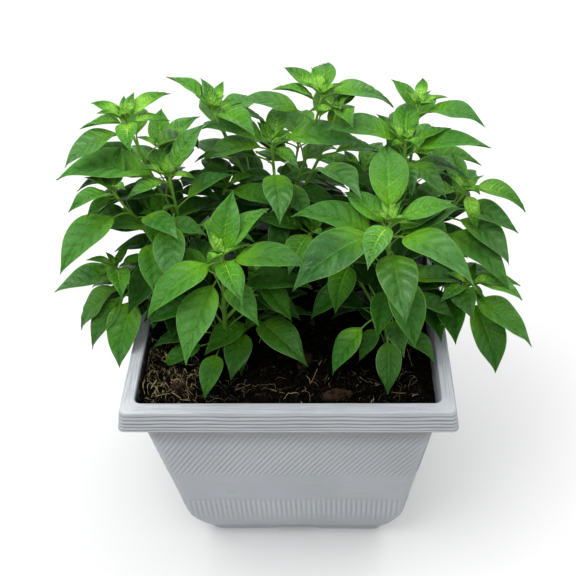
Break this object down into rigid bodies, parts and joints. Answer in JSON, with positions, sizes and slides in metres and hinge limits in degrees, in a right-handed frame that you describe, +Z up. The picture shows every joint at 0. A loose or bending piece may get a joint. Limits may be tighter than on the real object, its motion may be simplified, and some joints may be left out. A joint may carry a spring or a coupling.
{
  "type": "potted chilli pepper plant",
  "caption": "Young leafy chilli pepper plants in potting soil, in a square tapered planter with a wide flat rim.",
  "frame": {"origin": "centre of the planter's underside", "axes": "+Z up, +X to the picture's right, -Y towards the picture's viewpoint"},
  "size_m": [0.4049, 0.3049, 0.4552],
  "materials": {
    "planter": "moulded pale grey plastic, satin, with fine ribs and streaks",
    "soil": "damp dark potting soil with coir fibres",
    "bark": "rough brown bark",
    "foliage": "semi-gloss leaf, light green at the shoot tips and deeper green below"
  },
  "bodies": {
    "root": {"pot": "planter", "soil": "soil", "bark_chip_front": "bark", "bark_chip_left": "bark", "bark_chip_middle": "bark", "plant_front_left": "foliage", "plant_front_right": "foliage", "plant_left": "foliage", "plant_back": "foliage", "plant_right": "foliage"}
  },
  "joints": []
}
